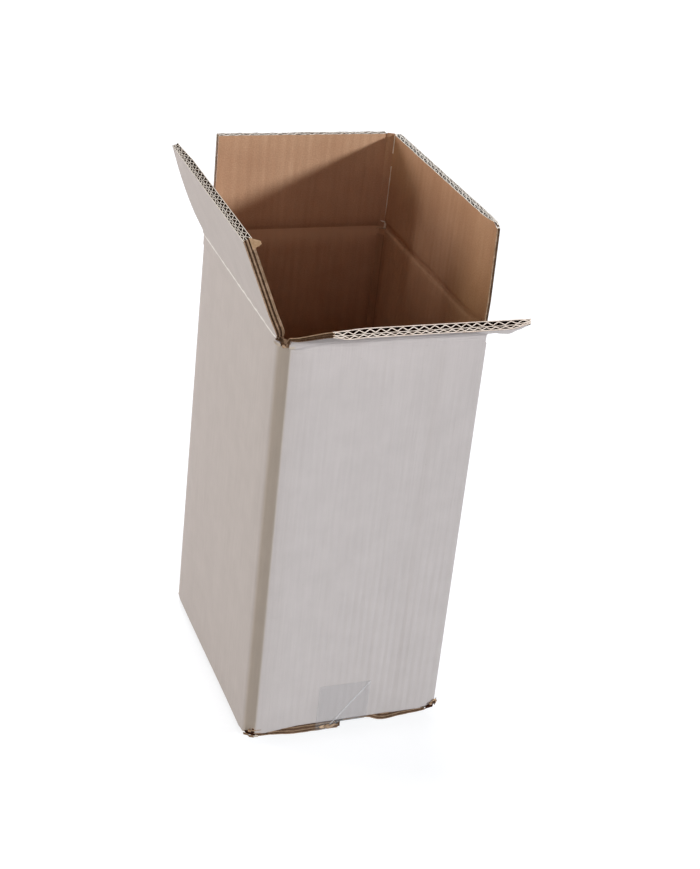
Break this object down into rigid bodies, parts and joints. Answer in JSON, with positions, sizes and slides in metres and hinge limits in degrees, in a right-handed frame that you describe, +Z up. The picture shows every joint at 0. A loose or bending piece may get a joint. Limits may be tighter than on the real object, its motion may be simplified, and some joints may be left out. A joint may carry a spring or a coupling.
{
  "type": "corrugated shipping box",
  "caption": "Tall slotted shipping box in double-wall corrugated board, white outside and brown inside, with a taped base and hinged top flaps standing open.",
  "frame": {"origin": "middle of the underside, on the surface that the box stands on", "axes": "+Z up through the open top, -Y out of the front wall, +X to the box's right as seen from the front"},
  "size_m": [0.196, 0.2985, 0.4476],
  "materials": {
    "board": "matte white liner outside, brown kraft inside",
    "tape": "clear film"
  },
  "bodies": {
    "carton": {"carton": "board", "bottom_tape": "tape"},
    "left_flap": {"left_flap": "board"},
    "right_flap": {"right_flap": "board"},
    "front_flap": {"front_flap": "board"},
    "back_flap": {"back_flap": "board"}
  },
  "joints": [
    {"name": "left_flap_fold", "type": "hinge", "parent": "carton", "child": "left_flap", "pos_m": [-0.084, 0, 0.368], "axis": [0, -1, 0], "range_deg": [-110, 145]},
    {"name": "right_flap_fold", "type": "hinge", "parent": "carton", "child": "right_flap", "pos_m": [0.084, 0, 0.368], "axis": [0, 1, 0], "range_deg": [-90, 165]},
    {"name": "front_flap_fold", "type": "hinge", "parent": "carton", "child": "front_flap", "pos_m": [0, -0.111, 0.3609], "axis": [1, 0, 0], "range_deg": [-150, 105]},
    {"name": "back_flap_fold", "type": "hinge", "parent": "carton", "child": "back_flap", "pos_m": [0, 0.111, 0.3609], "axis": [-1, 0, 0], "range_deg": [-91, 164]}
  ]
}
